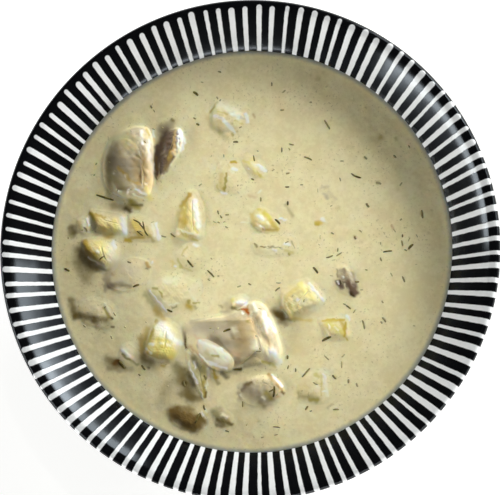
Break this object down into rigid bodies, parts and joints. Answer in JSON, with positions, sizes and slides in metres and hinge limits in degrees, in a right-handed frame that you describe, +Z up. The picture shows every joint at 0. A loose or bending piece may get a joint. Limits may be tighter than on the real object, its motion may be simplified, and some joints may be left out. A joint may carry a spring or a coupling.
{
  "type": "bowl of creamy fish and potato soup",
  "caption": "Creamy pale soup with potato, flaked fish, fish skin, onion and dill in a wide black glazed bowl with white rays painted inside its flared rim.",
  "frame": {"origin": "middle of the bowl's underside, in the plane of the foot ring's face", "axes": "+Z up through the middle of the bowl; +Y towards the top of the picture and +X to its right, seen from above"},
  "size_m": [0.2, 0.2, 0.055],
  "materials": {
    "glaze": "gloss",
    "soup": "satin",
    "fish": "satin",
    "potato": "satin",
    "skin": "satin",
    "onion": "satin",
    "dill": "satin"
  },
  "bodies": {
    "root": {"bowl": "glaze", "soup": "soup", "fish_flake": "fish", "fish_large": "fish", "fish_left": "fish", "fish_sunk": "fish", "fish_disc": "fish", "potato_top": "potato", "potato_upper": "potato", "potato_upper_small": "potato", "potato_middle": "potato", "potato_sunk_middle": "potato", "potato_wedge": "potato", "potato_sunk_left": "potato", "potato_left_back": "potato", "potato_left_herbs": "potato", "potato_left_front": "potato", "potato_crumb_left": "potato", "potato_slab": "potato", "potato_golden": "potato", "potato_small_left": "potato", "potato_sunk_edge": "potato", "potato_right": "potato", "potato_right_low": "potato", "potato_sunk_right": "potato", "potato_crumb_top": "potato", "skin_left": "skin", "skin_right": "skin", "skin_lower": "skin", "skin_lower_small": "skin", "onion_wedge": "onion"}
  },
  "joints": []
}
